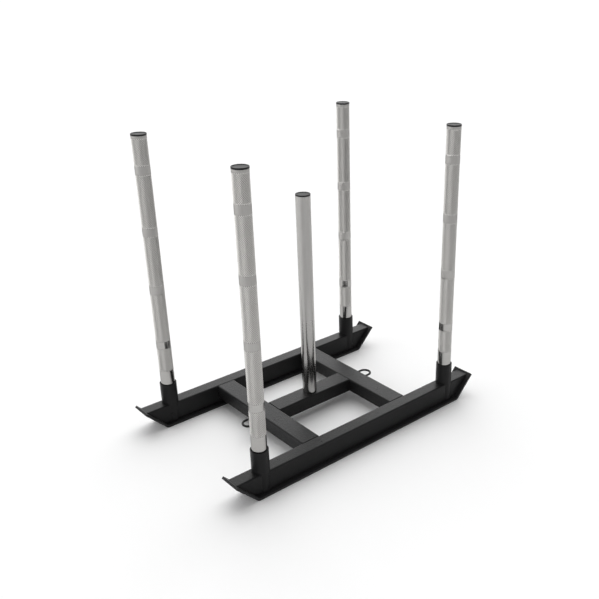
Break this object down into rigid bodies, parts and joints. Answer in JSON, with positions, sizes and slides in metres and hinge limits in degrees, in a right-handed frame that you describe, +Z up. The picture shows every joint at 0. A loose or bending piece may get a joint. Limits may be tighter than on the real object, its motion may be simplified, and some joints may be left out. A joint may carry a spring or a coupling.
{
  "type": "push sled",
  "caption": "Low tube frame on bent-up skid plates, with lift-out knurled corner uprights, a central post for weight plates and level tow eyes, pushed or towed along a gym floor.",
  "frame": {"origin": "on the floor under the middle of the sled", "axes": "+X along the runners towards the front, +Y to the left, +Z up"},
  "size_m": [1.044, 0.63, 1.0173],
  "materials": {
    "frame_coat": "black powder coat, low gloss",
    "skid_coat": "black powder coat, low gloss",
    "socket_coat": "black powder coat, low gloss",
    "upright_steel": "satin plated steel with diamond knurling and smooth bands",
    "post_chrome": "bright polished plating",
    "cap_plastic": "black moulded plastic, fine grain",
    "eye_coat": "black powder coat, low gloss"
  },
  "bodies": {
    "frame": {"runner_left": "frame_coat", "runner_right": "frame_coat", "skid_left": "skid_coat", "skid_right": "skid_coat", "crossbar_front": "frame_coat", "crossbar_rear": "frame_coat", "centre_beam": "frame_coat", "socket_front_left": "socket_coat", "socket_front_right": "socket_coat", "socket_rear_left": "socket_coat", "socket_rear_right": "socket_coat", "weight_post": "post_chrome", "weight_post_cap": "cap_plastic", "tow_eye_front": "eye_coat", "tow_eye_rear": "eye_coat"},
    "upright_front_left_lift": {"upright_front_left": "upright_steel", "cap_front_left": "cap_plastic"},
    "upright_front_right_lift": {"upright_front_right": "upright_steel", "cap_front_right": "cap_plastic"},
    "upright_rear_left_lift": {"upright_rear_left": "upright_steel", "cap_rear_left": "cap_plastic"},
    "upright_rear_right_lift": {"upright_rear_right": "upright_steel", "cap_rear_right": "cap_plastic"}
  },
  "joints": [
    {"name": "lift_front_left", "type": "slide", "parent": "frame", "child": "upright_front_left_lift", "axis": [0, 0, 1], "range_m": [0, 0.15]},
    {"name": "lift_front_right", "type": "slide", "parent": "frame", "child": "upright_front_right_lift", "axis": [0, 0, 1], "range_m": [0, 0.15]},
    {"name": "lift_rear_left", "type": "slide", "parent": "frame", "child": "upright_rear_left_lift", "axis": [0, 0, 1], "range_m": [0, 0.15]},
    {"name": "lift_rear_right", "type": "slide", "parent": "frame", "child": "upright_rear_right_lift", "axis": [0, 0, 1], "range_m": [0, 0.15]}
  ]
}
